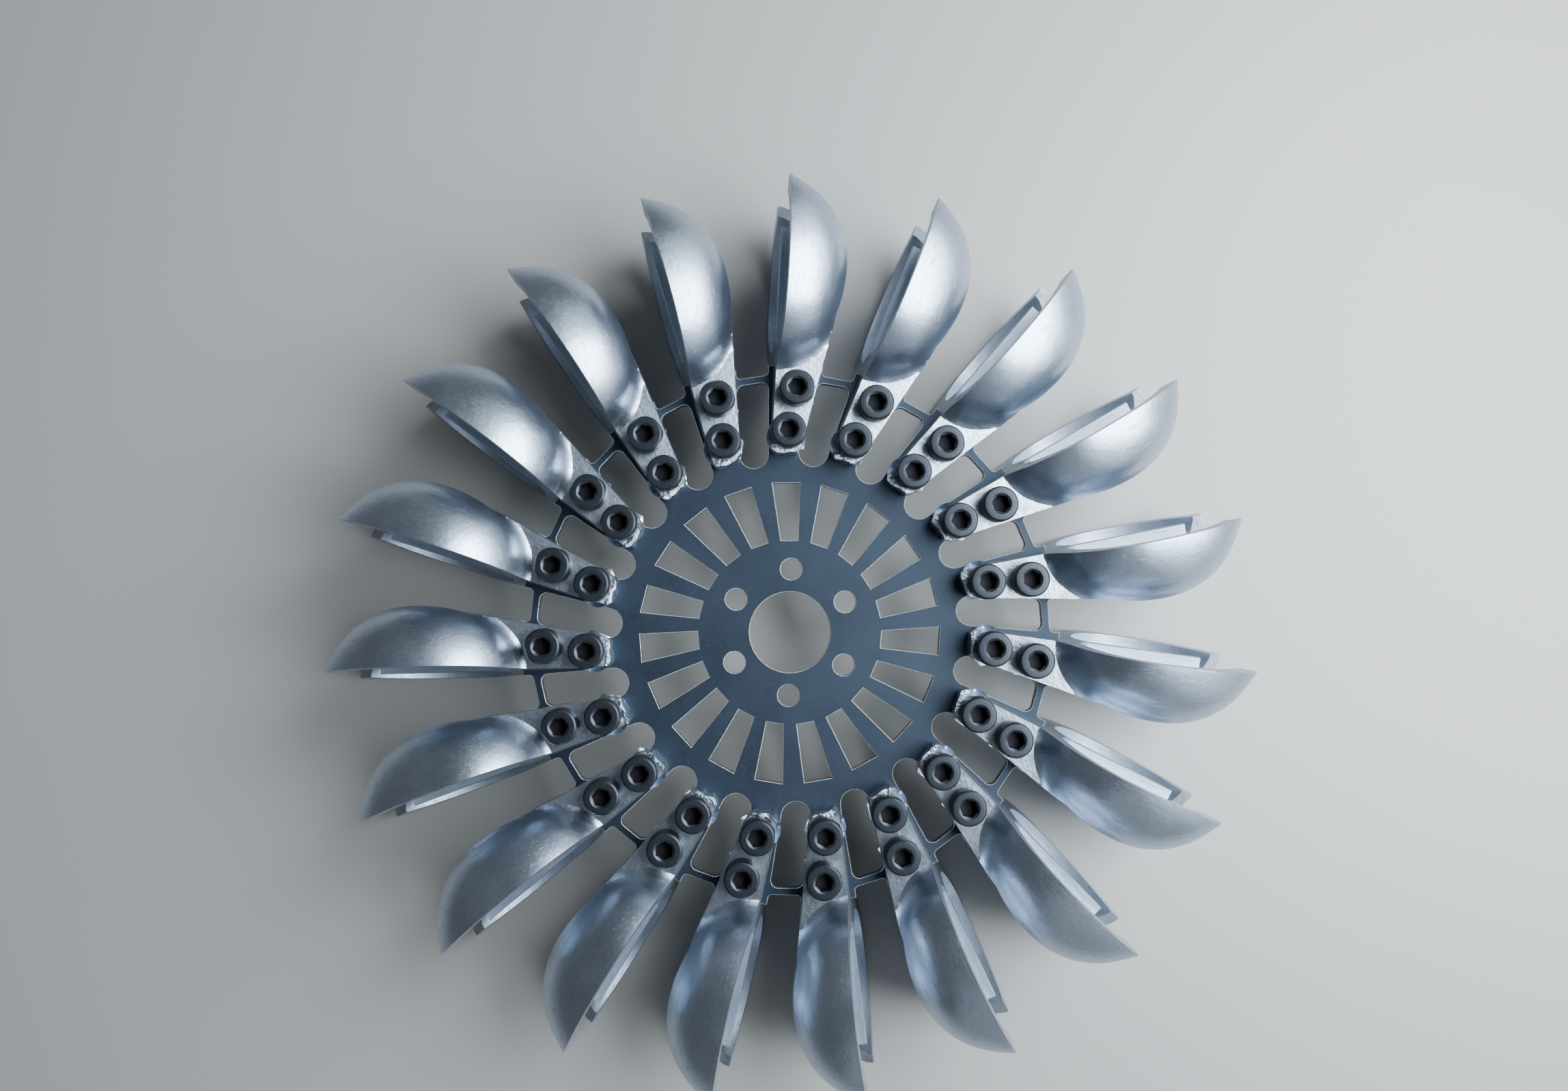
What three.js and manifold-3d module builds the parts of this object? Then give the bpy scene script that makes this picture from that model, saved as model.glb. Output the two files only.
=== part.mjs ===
// A small Pelton wheel: a laser-cut steel runner disc with nineteen cast aluminium buckets.
// Millimetres, +Z up. The wheel lies flat, its shaft axis is Z, and the origin is in the
// middle of the shaft bore, half way through the disc.
//
// Each bucket is drawn once in its own sector, whose X points outwards along the bucket's
// finger of the disc and whose Y points the way the open cups face, then turned into place.

import * as THREE from "three";
import { mergeVertices } from "three/addons/utils/BufferGeometryUtils.js";
import Module from "manifold-3d";

const wasm = await Module();
wasm.setup();

// The wheel as a whole
const BUCKET_COUNT = 19;
const SECTOR = (2 * Math.PI) / BUCKET_COUNT;
const FIRST_BUCKET_ANGLE = Math.PI / 2;
const TIP_RADIUS = 170;
const SEAT_GAP = 0.3;

// Runner disc
const DISC_THICKNESS = 4;
const DISC_RADIUS = 102;
const BORE_RADIUS = 15.3;
const BORE_SIDES = 36;
const HUB_HOLE_COUNT = 6;
const HUB_HOLE_RADIUS = 4.15;
const HUB_HOLE_CIRCLE = 23.8;
const HUB_HOLE_TURN = THREE.MathUtils.degToRad(-1.5);
const HUB_HOLE_SIDES = 12;

// Lightening windows: trapezoids that lean a little from the radial direction
const WINDOW_INNER_RADIUS = 34.6;
const WINDOW_OUTER_RADIUS = 56.6;
const WINDOW_INNER_WIDTH = 6.6;
const WINDOW_OUTER_WIDTH = 10.6;
const WINDOW_OUTER_SHIFT = 1.2;

// Slots between the fingers, closed outside by a thin web
const FINGER_FRONT = 7.85;
const SLOT_START = 67.7;
const SLOT_RADIUS = 5.6;
const SLOT_TAPER = THREE.MathUtils.degToRad(2.3);
const WEB_INNER_RADIUS = 95.6;
const WEB_OUTER_RADIUS = 98.2;
const SLOT_FILLET = 2.8;
const WEB_FILLET = 1.6;

// The flat rim of a bucket: where it crosses the finger, and how it stands
const RIM_START = 100;
const RIM_OFFSET = 6;
const RIM_LEAN = THREE.MathUtils.degToRad(3.35);
const RIM_TILT = THREE.MathUtils.degToRad(7.3);

// Bucket shell, in lengths along the rim from RIM_START
const BUCKET_WIDTH = 70;
const SHELL_BASE = 0.3;
const SHELL_WIDEST = 32;
const SHELL_TIP = TIP_RADIUS - RIM_START;
const TIP_OUTLINE = 46;
const SHELL_DEPTH = 23.9;
const SHELL_DEEPEST = 39;
const SHELL_PLACES = [SHELL_BASE, 1.3, 4.5, 11, 21, 33, 45, 55, 63, SHELL_TIP];

// Across a section of the shell: how far out each crown lies, as a share of the half width,
// the turns that round each flank, and how deep the valley between the two cup backs is
const CROWN_SHARE = 0.5;
const FLANK_TURNS = [27, 56, 90];
const BACK_VALLEY = 0.72;
const VALLEY_SHOULDER = 0.92;
const LEAST_SIZE = 0.4;

// The two hollows in the shell, either side of the splitter
const WALL = 4;
const HOLLOW_BASE = 7.8;
const HOLLOW_TIP = 68.4;
const HOLLOW_PLACES = [HOLLOW_BASE, 9.5, 15, 25, 37, 48, 58, HOLLOW_TIP];
const HOLLOW_TURNS = [180, 146, 108, 70, 32, 0];
const HOLLOW_SQUARENESS = { across: 0.85, back: 0.9 };
const SPLITTER_HALF = 0.9;
const SPLITTER_ROOT = 8.5;
const SPLITTER_ROOT_LENGTH = 6;
const ABOVE_RIM = 2;

// How full each profile is: towards the base, and by two powers towards the tip
const OUTLINE_FULLNESS = { base: 2.15, tip: 2, drop: 0.5 };
const SHELL_FULLNESS = { base: 2, tip: 2.4, drop: 1 };
const HOLLOW_FULLNESS = { base: 2.4, tip: 2.4, drop: 1.3 };

// Notch between the horns, as half of its outline: length along the rim, and half width
const NOTCH = [
  [56, 0],
  [55.6, 1.4],
  [54.1, 5.2],
  [54.9, 8.2],
  [58.2, 11.4],
  [63.5, 13.9],
  [70.4, 17.2],
  [76, 18.2],
];

// Stem, seen from above in its sector, and its place across the wheel
const STEM_THICKNESS = 8;
const STEM_FRONT_TRIM = 80;
const STEM = [
  [67.6, -2.4],
  [69.6, -4.3],
  [100, -12.6],
  [115, -16.8],
  [124, -18.6],
  [133, -12],
  [133, 6],
  [79, 9],
  [77.4, 8.3],
  [74.6, 8.7],
  [71.4, 8.3],
  [68.6, 6.4],
  [67.2, 2],
];

// The finger's end sits in a shallow recess in the bucket's base
const RECESS_RADIUS = 102.4;

const STEEL = { color: 0x4d6377, roughness: 0.5, metalness: 0.8 };
const ALUMINIUM = { color: 0xa9b6c4, roughness: 0.45, metalness: 0.9 };

function solidFromGeometry(geometry) {
  const bare = geometry.index ? geometry.toNonIndexed() : geometry.clone();
  bare.deleteAttribute("normal");
  bare.deleteAttribute("uv");
  const merged = mergeVertices(bare, 1e-4);
  return new wasm.Manifold(
    new wasm.Mesh({
      numProp: 3,
      vertProperties: new Float32Array(merged.attributes.position.array),
      triVerts: new Uint32Array(merged.index.array),
    }),
  );
}

function geometryFromSolid(solid) {
  const mesh = solid.getMesh();
  const geometry = new THREE.BufferGeometry();
  geometry.setAttribute("position", new THREE.Float32BufferAttribute(mesh.vertProperties, 3));
  geometry.setIndex(Array.from(mesh.triVerts));
  geometry.computeVertexNormals();
  return geometry;
}

// A closed body through rings of equally many points, shut at both ends by a fan
function loft(rings) {
  const count = rings[0].length;
  const centres = [rings[0], rings[rings.length - 1]].map((ring) =>
    ring.reduce((sum, point) => sum.add(point), new THREE.Vector3()).divideScalar(count),
  );
  const points = [...rings.flat(), ...centres];
  const triangles = [];
  const at = (ring, i) => ring * count + (i % count);
  for (let ring = 0; ring + 1 < rings.length; ring++) {
    for (let i = 0; i < count; i++) {
      triangles.push(at(ring, i), at(ring, i + 1), at(ring + 1, i));
      triangles.push(at(ring, i + 1), at(ring + 1, i + 1), at(ring + 1, i));
    }
  }
  const first = rings.length * count;
  for (let i = 0; i < count; i++) {
    triangles.push(first, at(0, i + 1), at(0, i));
    triangles.push(first + 1, at(rings.length - 1, i), at(rings.length - 1, i + 1));
  }
  const geometry = new THREE.BufferGeometry();
  geometry.setAttribute("position", new THREE.Float32BufferAttribute(points.flatMap((p) => p.toArray()), 3));
  geometry.setIndex(triangles);
  return geometry;
}

function arcPoints(centre, radius, from, to, steps) {
  const points = [];
  for (let i = 0; i <= steps; i++) {
    const angle = from + ((to - from) * i) / steps;
    points.push(new THREE.Vector2(centre.x + radius * Math.cos(angle), centre.y + radius * Math.sin(angle)));
  }
  return points;
}

// The rounded corner between a straight edge and a circle about the axis. The gap lies on
// the edge's inward side, and outside the circle where outside is 1, inside it where -1.
function cornerPoints(edge, circle, fillet, outside, steps) {
  const start = edge.point.clone().addScaledVector(edge.inward, fillet);
  const along = start.dot(edge.direction);
  const reach = circle + outside * fillet;
  const run = -along + Math.sqrt(along ** 2 - start.lengthSq() + reach ** 2);
  const centre = start.addScaledVector(edge.direction, run);
  const onEdge = edge.inward.clone().negate();
  const onCircle = centre.clone().normalize().multiplyScalar(-outside);
  const from = Math.atan2(onEdge.y, onEdge.x);
  let sweep = Math.atan2(onCircle.y, onCircle.x) - from;
  sweep = Math.atan2(Math.sin(sweep), Math.cos(sweep));
  return arcPoints(centre, fillet, from, from + sweep, steps);
}

// The two straight sides of a slot, in the sector of the finger on its clockwise side
function slotEdges() {
  const lean = new THREE.Vector2(Math.cos(SLOT_TAPER), Math.sin(SLOT_TAPER));
  return {
    lower: {
      point: new THREE.Vector2(SLOT_START, FINGER_FRONT),
      direction: new THREE.Vector2(1, 0),
      inward: new THREE.Vector2(0, 1),
    },
    upper: {
      point: new THREE.Vector2(SLOT_START, FINGER_FRONT + 2 * SLOT_RADIUS),
      direction: lean,
      inward: new THREE.Vector2(lean.y, -lean.x),
    },
  };
}

function slotOutline() {
  const { lower, upper } = slotEdges();
  const centre = new THREE.Vector2(SLOT_START, FINGER_FRONT + SLOT_RADIUS);
  return [
    ...arcPoints(centre, SLOT_RADIUS, Math.PI / 2, (3 * Math.PI) / 2, 6),
    ...cornerPoints(lower, WEB_INNER_RADIUS, SLOT_FILLET, -1, 2),
    ...cornerPoints(upper, WEB_INNER_RADIUS, SLOT_FILLET, -1, 2).reverse(),
  ];
}

function onCircleAlong(edge, radius) {
  const along = edge.point.dot(edge.direction);
  const run = -along + Math.sqrt(along ** 2 - edge.point.lengthSq() + radius ** 2);
  return edge.point.clone().addScaledVector(edge.direction, run);
}

// From the outer front corner of one finger, round the gap outside the web, to the outer
// back corner of the next finger
function gapOutline() {
  const { lower, upper } = slotEdges();
  return [
    onCircleAlong(lower, DISC_RADIUS),
    ...cornerPoints(lower, WEB_OUTER_RADIUS, WEB_FILLET, 1, 2),
    ...cornerPoints(upper, WEB_OUTER_RADIUS, WEB_FILLET, 1, 2).reverse(),
    onCircleAlong(upper, DISC_RADIUS),
  ];
}

function windowOutline() {
  return [
    new THREE.Vector2(WINDOW_INNER_RADIUS, -WINDOW_INNER_WIDTH / 2),
    new THREE.Vector2(WINDOW_OUTER_RADIUS, WINDOW_OUTER_SHIFT - WINDOW_OUTER_WIDTH / 2),
    new THREE.Vector2(WINDOW_OUTER_RADIUS, WINDOW_OUTER_SHIFT + WINDOW_OUTER_WIDTH / 2),
    new THREE.Vector2(WINDOW_INNER_RADIUS, WINDOW_INNER_WIDTH / 2),
  ];
}

function turned(points, angle) {
  const origin = new THREE.Vector2();
  return points.map((point) => point.clone().rotateAround(origin, angle));
}

function bucketAngle(number) {
  return FIRST_BUCKET_ANGLE - (number - 1) * SECTOR;
}

function discGeometry() {
  const outline = [];
  for (let number = BUCKET_COUNT; number >= 1; number--) {
    outline.push(...turned(gapOutline(), bucketAngle(number)));
  }
  const shape = new THREE.Shape(outline);
  const origin = new THREE.Vector2();
  const circles = [arcPoints(origin, BORE_RADIUS, 0, 2 * Math.PI, BORE_SIDES).slice(1)];
  for (let hole = 0; hole < HUB_HOLE_COUNT; hole++) {
    const angle = FIRST_BUCKET_ANGLE + HUB_HOLE_TURN + (hole * 2 * Math.PI) / HUB_HOLE_COUNT;
    const centre = new THREE.Vector2(HUB_HOLE_CIRCLE, 0).rotateAround(origin, angle);
    circles.push(arcPoints(centre, HUB_HOLE_RADIUS, 0, 2 * Math.PI, HUB_HOLE_SIDES).slice(1));
  }
  shape.holes.push(...circles.map((points) => new THREE.Path(points)));
  for (let number = 1; number <= BUCKET_COUNT; number++) {
    shape.holes.push(new THREE.Path(turned(windowOutline(), bucketAngle(number))));
    shape.holes.push(new THREE.Path(turned(slotOutline(), bucketAngle(number))));
  }
  const geometry = new THREE.ExtrudeGeometry(shape, { depth: DISC_THICKNESS, bevelEnabled: false });
  geometry.translate(0, 0, -DISC_THICKNESS / 2);
  return geometry;
}

// How far a section reaches at a place along the shell: 1 at the middle, 0 at the ends
function swell(place, base, middle, tip, fullness) {
  if (place < middle) {
    const share = Math.min((middle - place) / (middle - base), 1);
    return (1 - share ** fullness.base) ** (1 / fullness.base);
  }
  const share = Math.min((place - middle) / (tip - middle), 1);
  return (1 - share ** fullness.tip) ** fullness.drop;
}

function shellHalfWidth(place) {
  const tip = SHELL_WIDEST + TIP_OUTLINE;
  return (BUCKET_WIDTH / 2) * swell(place, SHELL_BASE, SHELL_WIDEST, tip, OUTLINE_FULLNESS);
}

function shellDepth(place) {
  return SHELL_DEPTH * swell(place, SHELL_BASE, SHELL_DEEPEST, SHELL_TIP, SHELL_FULLNESS);
}

// One section of the outer shell: straight across the rim, then back round both cups
function shellRing(place) {
  const half = Math.max(shellHalfWidth(place), LEAST_SIZE);
  const depth = Math.max(shellDepth(place), LEAST_SIZE);
  const crown = half * CROWN_SHARE;
  const flank = FLANK_TURNS.map((turn) => {
    const angle = THREE.MathUtils.degToRad(turn);
    return [crown + (half - crown) * Math.cos(angle), depth * Math.sin(angle)];
  });
  const right = [[half, 0], ...flank, [crown / 2, depth * VALLEY_SHOULDER]];
  const left = right.map(([across, back]) => [-across, back]).reverse();
  const ring = [...right, [0, depth * BACK_VALLEY], ...left];
  return ring.map(([across, back]) => new THREE.Vector3(place, across, back));
}

function shellSolid() {
  return solidFromGeometry(loft(SHELL_PLACES.map(shellRing)));
}

// How far the ridge between the hollows stands out from the middle, widening to its root
function splitterHalf(place) {
  const root = Math.max(0, 1 - (place - HOLLOW_BASE) / SPLITTER_ROOT_LENGTH);
  return SPLITTER_HALF + SPLITTER_ROOT * root ** 2;
}

// One section of a hollow. Its straight lid lies above the rim, so that it cuts clean.
function hollowRing(place, side) {
  const width = BUCKET_WIDTH / 2 - WALL;
  const outer = width * swell(place, HOLLOW_BASE, SHELL_WIDEST, HOLLOW_TIP, OUTLINE_FULLNESS);
  const deepest = SHELL_DEPTH - WALL;
  const depth = deepest * swell(place, HOLLOW_BASE, SHELL_DEEPEST, HOLLOW_TIP, HOLLOW_FULLNESS);
  const inner = splitterHalf(place);
  const middle = (Math.max(outer, inner + 1) + inner) / 2;
  const half = Math.max((outer - inner) / 2, LEAST_SIZE);
  const ring = [[middle - half, -ABOVE_RIM]];
  for (const turn of HOLLOW_TURNS) {
    const angle = THREE.MathUtils.degToRad(turn);
    const reach = Math.sign(Math.cos(angle)) * Math.abs(Math.cos(angle)) ** HOLLOW_SQUARENESS.across;
    const drop = Math.sin(angle) ** HOLLOW_SQUARENESS.back;
    ring.push([middle + half * reach, Math.max(depth, LEAST_SIZE) * drop]);
  }
  ring.push([middle + half, -ABOVE_RIM]);
  const points = ring.map(([across, back]) => new THREE.Vector3(place, side * across, back));
  return side > 0 ? points.reverse() : points;
}

function hollowSolid(side) {
  return solidFromGeometry(loft(HOLLOW_PLACES.map((place) => hollowRing(place, side))));
}

function notchSolid() {
  const right = NOTCH.map(([place, half]) => new THREE.Vector2(place, half));
  const left = right.slice(1).map((point) => new THREE.Vector2(point.x, -point.y)).reverse();
  const shape = new THREE.Shape([...left, ...right]);
  const depth = SHELL_DEPTH + 2 * ABOVE_RIM;
  const geometry = new THREE.ExtrudeGeometry(shape, { depth, bevelEnabled: false });
  geometry.translate(0, 0, -ABOVE_RIM);
  return solidFromGeometry(geometry);
}

// From rim lengths (along, across, back) to the bucket's sector
function rimFrame() {
  const along = new THREE.Vector3(Math.cos(RIM_LEAN), -Math.sin(RIM_LEAN), 0);
  const level = new THREE.Vector3(-Math.sin(RIM_LEAN), -Math.cos(RIM_LEAN), 0);
  const up = new THREE.Vector3(0, 0, 1);
  const across = up.clone().multiplyScalar(Math.cos(RIM_TILT)).addScaledVector(level, Math.sin(RIM_TILT));
  const back = level.clone().multiplyScalar(Math.cos(RIM_TILT)).addScaledVector(up, -Math.sin(RIM_TILT));
  return new THREE.Matrix4().makeBasis(along, across, back).setPosition(RIM_START, RIM_OFFSET, 0);
}

function boxSolid(low, high) {
  const size = high.clone().sub(low);
  const middle = low.clone().add(high).multiplyScalar(0.5);
  const geometry = new THREE.BoxGeometry(size.x, size.y, size.z);
  geometry.translate(middle.x, middle.y, middle.z);
  return solidFromGeometry(geometry);
}

function stemSolid() {
  const shape = new THREE.Shape(STEM.map(([along, side]) => new THREE.Vector2(along, side)));
  const geometry = new THREE.ExtrudeGeometry(shape, { depth: STEM_THICKNESS, bevelEnabled: false });
  geometry.translate(0, 0, DISC_THICKNESS / 2 + SEAT_GAP);
  return solidFromGeometry(geometry);
}

function bucketGeometry() {
  const frame = rimFrame();
  const inSector = (solid) => solid.transform(frame.elements);
  const inFrontOfRim = boxSolid(
    new THREE.Vector3(STEM_FRONT_TRIM - RIM_START, -BUCKET_WIDTH, -BUCKET_WIDTH),
    new THREE.Vector3(SHELL_TIP, BUCKET_WIDTH, 0),
  );
  const recess = boxSolid(
    new THREE.Vector3(0, -BUCKET_WIDTH, -DISC_THICKNESS / 2 - SEAT_GAP),
    new THREE.Vector3(RECESS_RADIUS, BUCKET_WIDTH, DISC_THICKNESS / 2 + SEAT_GAP),
  );
  const body = stemSolid()
    .subtract(inSector(inFrontOfRim))
    .add(inSector(shellSolid()))
    .subtract(inSector(hollowSolid(1)))
    .subtract(inSector(hollowSolid(-1)))
    .subtract(inSector(notchSolid()))
    .subtract(recess);
  return geometryFromSolid(body);
}

function namedMesh(name, geometry, finish) {
  const mesh = new THREE.Mesh(geometry, new THREE.MeshStandardMaterial(finish));
  mesh.name = name;
  return mesh;
}

function peltonWheel() {
  const wheel = new THREE.Group();
  wheel.add(namedMesh("runner_disc", discGeometry(), STEEL));
  const bucket = bucketGeometry();
  for (let number = 1; number <= BUCKET_COUNT; number++) {
    const name = `bucket_${String(number).padStart(2, "0")}`;
    const mesh = namedMesh(name, bucket, ALUMINIUM);
    mesh.rotation.z = bucketAngle(number);
    wheel.add(mesh);
  }
  return wheel;
}

export default peltonWheel();
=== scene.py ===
# A small Pelton wheel lying on a pale floor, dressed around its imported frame.
# Sizes are in millimetres, as in the part's source, until a mesh is made in metres.
# Only the studio's sizes are written in metres.

import cmath
import math
import random
from collections import namedtuple

import bmesh
import bpy
import numpy as np
from mathutils import Euler, Matrix, Vector
from mathutils.bvhtree import BVHTree


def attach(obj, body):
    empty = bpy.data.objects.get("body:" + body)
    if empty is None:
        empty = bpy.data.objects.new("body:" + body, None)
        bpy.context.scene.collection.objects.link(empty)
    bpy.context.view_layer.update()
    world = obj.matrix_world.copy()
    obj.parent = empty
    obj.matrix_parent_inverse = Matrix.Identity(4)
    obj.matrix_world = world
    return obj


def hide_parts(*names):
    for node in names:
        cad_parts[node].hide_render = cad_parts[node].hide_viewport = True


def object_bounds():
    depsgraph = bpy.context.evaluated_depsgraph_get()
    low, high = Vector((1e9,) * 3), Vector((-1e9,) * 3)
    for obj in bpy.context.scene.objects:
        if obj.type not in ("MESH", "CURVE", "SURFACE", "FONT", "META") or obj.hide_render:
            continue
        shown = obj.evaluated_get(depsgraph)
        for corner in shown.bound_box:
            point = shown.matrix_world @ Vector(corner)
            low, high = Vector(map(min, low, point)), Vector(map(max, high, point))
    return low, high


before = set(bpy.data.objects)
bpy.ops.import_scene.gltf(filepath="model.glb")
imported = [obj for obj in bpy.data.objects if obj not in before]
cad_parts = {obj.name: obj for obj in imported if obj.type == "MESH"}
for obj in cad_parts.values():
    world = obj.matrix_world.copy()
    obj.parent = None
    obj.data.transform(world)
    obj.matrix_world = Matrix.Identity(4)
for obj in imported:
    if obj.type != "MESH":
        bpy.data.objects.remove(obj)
cad_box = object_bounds()

MM = 0.001

# How full a curve is towards the base and the tip of a bucket, and how it drops at the tip
Fullness = namedtuple("Fullness", "base tip drop")

# A straight edge of a slot: a point on it, its direction, and the way into the slot
Edge = namedtuple("Edge", "point direction inward")

# The wheel as a whole
BUCKET_COUNT = 19
BUCKET_NUMBERS = range(1, BUCKET_COUNT + 1)
SECTOR = 2 * math.pi / BUCKET_COUNT
FIRST_BUCKET_ANGLE = math.pi / 2
TIP_RADIUS = 170

# Runner disc
DISC_THICKNESS = 4
DISC_RADIUS = 102
BORE_RADIUS = 15.3
BORE_POINTS = 96
HUB_HOLE_COUNT = 6
HUB_HOLE_RADIUS = 4.15
HUB_HOLE_CIRCLE = 23.8
HUB_HOLE_TURN = math.radians(-1.5)
HUB_HOLE_POINTS = 40
WINDOW_INNER_RADIUS = 34.6
WINDOW_OUTER_RADIUS = 56.6
WINDOW_INNER_WIDTH = 6.6
WINDOW_OUTER_WIDTH = 10.6
WINDOW_OUTER_SHIFT = 1.2
FINGER_FRONT = 7.85
SLOT_START = 67.7
SLOT_RADIUS = 5.6
SLOT_TAPER = math.radians(2.3)
SLOT_END_POINTS = 28
WEB_INNER_RADIUS = 95.6
WEB_OUTER_RADIUS = 98.2
SLOT_FILLET = 2.8
WEB_FILLET = 1.6
FILLET_POINTS = 8
DISC_EDGE = 0.15
DISC_SHARP = math.radians(30)
SAME_POINT = 0.005

# How steep the flat faces and the cut walls of the disc are, from 0 lying flat to 1 upright
FLAT_BELOW = 0.01
UPRIGHT_BEYOND = 0.9

# The flat rim of a bucket: where it crosses the finger, and how it stands
RIM_START = 100
RIM_OFFSET = 6
RIM_LEAN = math.radians(3.35)
RIM_TILT = math.radians(7.3)

# Bucket shell, in lengths along the rim from RIM_START; its outline would only close beyond its tip
BUCKET_WIDTH = 70
SHELL_BASE = 0.3
SHELL_WIDEST = 32
SHELL_TIP = TIP_RADIUS - RIM_START
OUTLINE_TIP = 78
SHELL_DEPTH = 23.9
SHELL_DEEPEST = 39
CROWN_SHARE = 0.42
FLANK_SPLAY = 0.2
BACK_VALLEY = 0.72
VALLEY_SOFTNESS = 0.18
OUTLINE_FULLNESS = Fullness(2.15, 2, 0.5)
SHELL_FULLNESS = Fullness(2, 2, 0.5)

# The lower cup is narrower by this factor, which keeps it inside the solids' box
FAR_SIDE_TRIM = 1.008

# Fine mesh of the bare shell: how many points and rings it has, how far it goes on in front of the rim,
# and from about how far off its distances are used
SURFACE_FLANK = 25
SURFACE_CROWN = 19
SURFACE_RINGS = 141
SURFACE_SKIRT = 12
TRUE_BEYOND = 0.8

# The two hollows in the shell, either side of the splitter
WALL = 4
HOLLOW_BASE = 7.8
HOLLOW_TIP = 68.4
HOLLOW_OUTLINE_TIP = HOLLOW_TIP + 1
HOLLOW_FULLNESS = Fullness(2.4, 2.4, 1.3)
HOLLOW_POWERS = (2.35, 2.2)
SPLITTER_HALF = 0.9
SPLITTER_ROOT = 8.5
SPLITTER_ROOT_LENGTH = 6
SPLITTER_ROUNDING = 0.7
SPLITTER_REACH = 3
HOLLOW_ROUNDING = 0.01

# Notch between the horns, as half of its outline: length along the rim, and half width
NOTCH = [(56, 0), (55.6, 1.4), (54.1, 5.2), (54.9, 8.2), (58.2, 11.4), (63.5, 13.9), (70.4, 17.2), (76, 18.2)]

# Stem, seen from above in its sector, and its heights across the wheel
STEM = [(67.4, -2.6), (69.2, -4.4), (100, -12.6), (115, -16.8), (124, -18.6), (133, -12), (133, 6), (79, 9),
        (76, 6.6), (68.4, 6.4), (67.1, 5.2)]
DISC_GAP = 0.02
STEM_LOW = DISC_THICKNESS / 2 + DISC_GAP
STEM_HIGH = 10.3
STEM_GROUND_END = 125
STEM_FILLET = 7.5
STEM_NEAR = 3
SWEEP_FADE = (113, 127)
STEM_SINK = 1.1
RECESS_RADIUS = 102.4

# Radii from which the stem and the whole casting end at the rim's plane
STEM_FRONT_TRIM = 74
RIM_TRIM = 82

# The low dished lip of the casting beside the inner screw
LOBE_CENTRE = (73.9, 1.8)
LOBE_RADIUS = 6.8
LOBE_HIGH = 4.8
LOBE_DISH = 1.2
LOBE_FILLET = 0.6

# The hub end of a casting: random waves, with their rates in radians per millimetre, a worn top edge,
# and the stretch along the rim where its torn look fades out
ROUGH_END = 71.6
ROUGH_LENGTH = 4.4
ROUGH_REACH = (0.45, 0.45, 0.35)
ROUGH_WAVES = 6
ROUGH_RATES = (1.1, 2.4)
ROUGH_PHASES = (0, 6.3)
ROUGH_FALL = 0.45
ROUGH_FALL_RANGE = (0.2, 1.6)
ROUGH_FALL_HEIGHT = 7
ROUGH_FALL_BAND = 3
ROUGH_SEED = 19
ROUGH_SKIN = (-30.4, -29.2)
ROUGH_SKIN_WANDER = 2.4

# Grid that a casting is meshed on, in its rim's frame: a start, then stretches of (end, step)
GRID_ALONG = (-34.3, (71.2, 1.1))
GRID_ACROSS = (-35.9, (-2.6, 1.15), (2.6, 0.47), (35.9, 1.15))
GRID_BACK = (-3.1, (-0.35, 0.9), (0.65, 0.5), (26, 1.15))

# How near a face of a casting lies to the surface that gives it its look
ON_FLAT = 0.03
ON_NOTCH = 0.05
ON_HOLLOW = 0.1

# Edges of a casting: from which angle they stay sharp, and from which they are broken, and how wide
CASTING_SHARP = math.radians(17)
BROKEN_BEYOND = math.radians(34)
BROKEN_EDGE = 0.25

# The least that a reach, a fillet and a slope count for, so that nothing is divided by zero
LEAST_REACH = 0.05
LEAST_FILLET = 0.05
LEAST_SLOPE = 1e-6

# Screws and lock nuts: along and beside the finger, in its sector
SCREW_PLACES = [(74.9, 0.2), (90.6, -2.95)]
SCREW_SIZE = 8
SCREW_LENGTH = 20
SCREW_SEED = 8
THREAD_INSET = 0.1
HEAD_RADIUS = 6.5
HEAD_HEIGHT = 8
HEAD_CHAMFER = 0.75
HEAD_SEAT_CHAMFER = 0.2
SOCKET_ACROSS = 6
SOCKET_MOUTH = 3.95
SOCKET_SLOPE = 0.6
SOCKET_DEPTH = 4.4
NUT_ACROSS = 13
NUT_HEIGHT = 6
NUT_FLAT_RADIUS = NUT_ACROSS / 2 - 0.35
NUT_CHAMFER = math.radians(30)
COLLAR_RADIUS = 5.8
COLLAR_HEIGHT = 2
RING_COUNT = 48
FASTENER_SHARP = math.radians(28)

# Camera, from the place of the bore, the screws and the tips in the photograph
PHOTO_SIZE = (2296, 1597)
SENSOR_WIDTH = 36
FOCAL_PIXELS = 1684
CAMERA_PLACE = (-1.6, 11.97, 437.8)
CAMERA_TILT = math.radians(2.73)
CAMERA_LEAN = math.radians(0.08)
CAMERA_ROLL = math.radians(-0.18)

# Studio, in metres
CLIP_START = 0.01
FLOOR_RADIUS = 2.7
FLOOR_POINTS = 128
DAYLIGHT = (0.84, 0.93, 1)
ROOM_COLOUR = (0.5, 0.53, 0.57, 1)
ROOM_STRENGTH = 0.23

# Materials of a casting, in the order of its slots
CAST_SKIN, HOLLOW_SKIN, GROUND_STEM, GROUND_RIM, BROKEN = range(5)

# Materials of the disc, in the order of its slots
FLAT, CUT_EDGE, CUT_FACE = range(3)

# The attribute that holds a point's place in its own casting, in metres along the rim, across it, and back
CASTING_PLACE = "casting"

# Sockets of a Mix node that mixes colours, where the node has several of one name
MIX_FIRST, MIX_SECOND, MIX_RESULT = 6, 7, 2


# Meshing

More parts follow.
